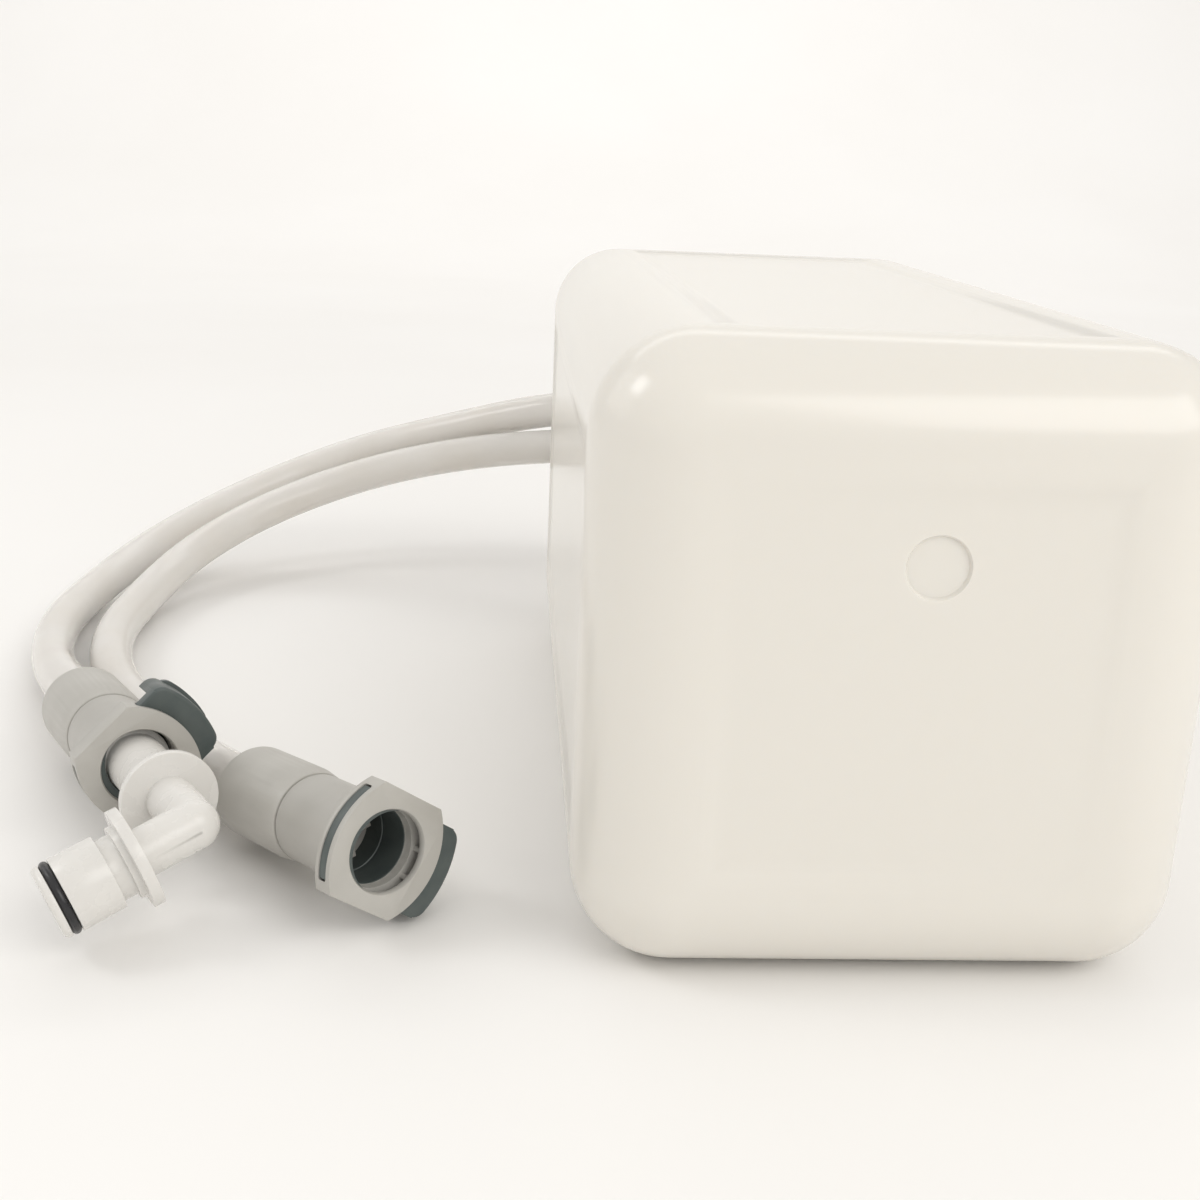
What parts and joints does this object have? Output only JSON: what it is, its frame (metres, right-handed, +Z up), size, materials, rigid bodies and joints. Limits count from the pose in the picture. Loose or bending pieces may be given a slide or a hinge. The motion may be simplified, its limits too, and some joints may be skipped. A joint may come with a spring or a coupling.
{
  "type": "fresh water tank",
  "caption": "Translucent rectangular water tank lying on its side, with a screw closure, clear hoses and thumb-latch quick-disconnect couplings.",
  "frame": {"origin": "centre of the flat face that the tank rests on", "axes": "+Z up, -Y out of the closed end, +Y out of the neck, +X to the right seen from the closed end"},
  "size_m": [0.4022, 0.4697, 0.181],
  "materials": {
    "shell": "translucent natural polyethylene, satin",
    "clear_hose": "clear flexible vinyl with a warm tint",
    "grey_plastic": "satin moulded",
    "slate_plastic": "satin moulded",
    "white_plastic": "semi-gloss moulded",
    "slip_plastic": "smooth",
    "rubber": "satin",
    "steel": "bright spring steel"
  },
  "bodies": {
    "tank": {"closure_gasket": "rubber", "coupling_body_held": "grey_plastic", "coupling_body_open": "grey_plastic", "dip_tube": "shell", "foot_strainer": "white_plastic", "hose_held": "clear_hose", "hose_open": "clear_hose", "hose_sleeve_held": "grey_plastic", "hose_sleeve_open": "grey_plastic", "hose_tail_held": "grey_plastic", "hose_tail_open": "grey_plastic", "latch_spring_held": "steel", "latch_spring_open": "steel", "port_plate": "white_plastic", "return_clamp": "steel", "return_elbow": "white_plastic", "return_nut": "white_plastic", "return_washer": "rubber", "suction_clamp": "steel", "suction_elbow": "white_plastic", "suction_nut": "white_plastic", "suction_washer": "rubber", "tank_end": "shell", "tank_neck": "shell", "tank_shoulder": "shell", "tank_walls": "shell", "valve_spring_held": "steel", "valve_spring_open": "steel", "vent_body": "white_plastic", "vent_flap": "rubber"},
    "slip_washer": {"slip_washer": "slip_plastic"},
    "screw_collar": {"screw_collar": "white_plastic"},
    "latch_open": {"latch_open": "slate_plastic"},
    "latch_held": {"latch_held": "slate_plastic"},
    "valve_open": {"valve_poppet_open": "grey_plastic", "poppet_seal_open": "rubber"},
    "valve_held": {"valve_poppet_held": "grey_plastic", "poppet_seal_held": "rubber"},
    "elbow_insert": {"elbow_insert": "white_plastic", "insert_ring_free": "rubber", "insert_ring_held": "rubber"}
  },
  "joints": [
    {"name": "collar_turn", "type": "hinge", "parent": "slip_washer", "child": "screw_collar", "pos_m": [0, 0.2152, 0.0905], "axis": [0, 1, 0], "range_deg": [0, 540]},
    {"name": "washer_lift", "type": "slide", "parent": "tank", "child": "slip_washer", "axis": [0, 1, 0], "range_m": [0, 0.0076]},
    {"name": "latch_press_open", "type": "slide", "parent": "tank", "child": "latch_open", "axis": [-0.6901, -0.4335, 0.5794], "range_m": [0, 0.003], "stiffness_N_per_m": 1200, "springref_m": -0.004, "deforming": ["latch_spring_open"]},
    {"name": "latch_press_held", "type": "slide", "parent": "tank", "child": "latch_held", "axis": [-0.6555, -0.3996, -0.6408], "range_m": [0, 0.003], "stiffness_N_per_m": 1200, "springref_m": -0.004, "deforming": ["latch_spring_held"]},
    {"name": "valve_push_open", "type": "slide", "parent": "tank", "child": "valve_open", "axis": [-0.5976, 0.793, -0.1184], "range_m": [0, 0.006], "stiffness_N_per_m": 500, "springref_m": -0.008, "deforming": ["valve_spring_open"]},
    {"name": "valve_push_held", "type": "slide", "parent": "tank", "child": "valve_held", "axis": [-0.4619, 0.8835, -0.0785], "range_m": [0, 0.0015], "stiffness_N_per_m": 500, "springref_m": -0.012, "deforming": ["valve_spring_held"]},
    {"name": "insert_swivel", "type": "hinge", "parent": "tank", "child": "elbow_insert", "pos_m": [-0.2232, -0.0888, 0.0267], "axis": [0.4619, -0.8835, 0.0785], "range_deg": [-140, 0]}
  ],
  "couplings": [
    {"joint": "washer_lift", "follows": "collar_turn", "m_per_rad": 0.00079577}
  ]
}
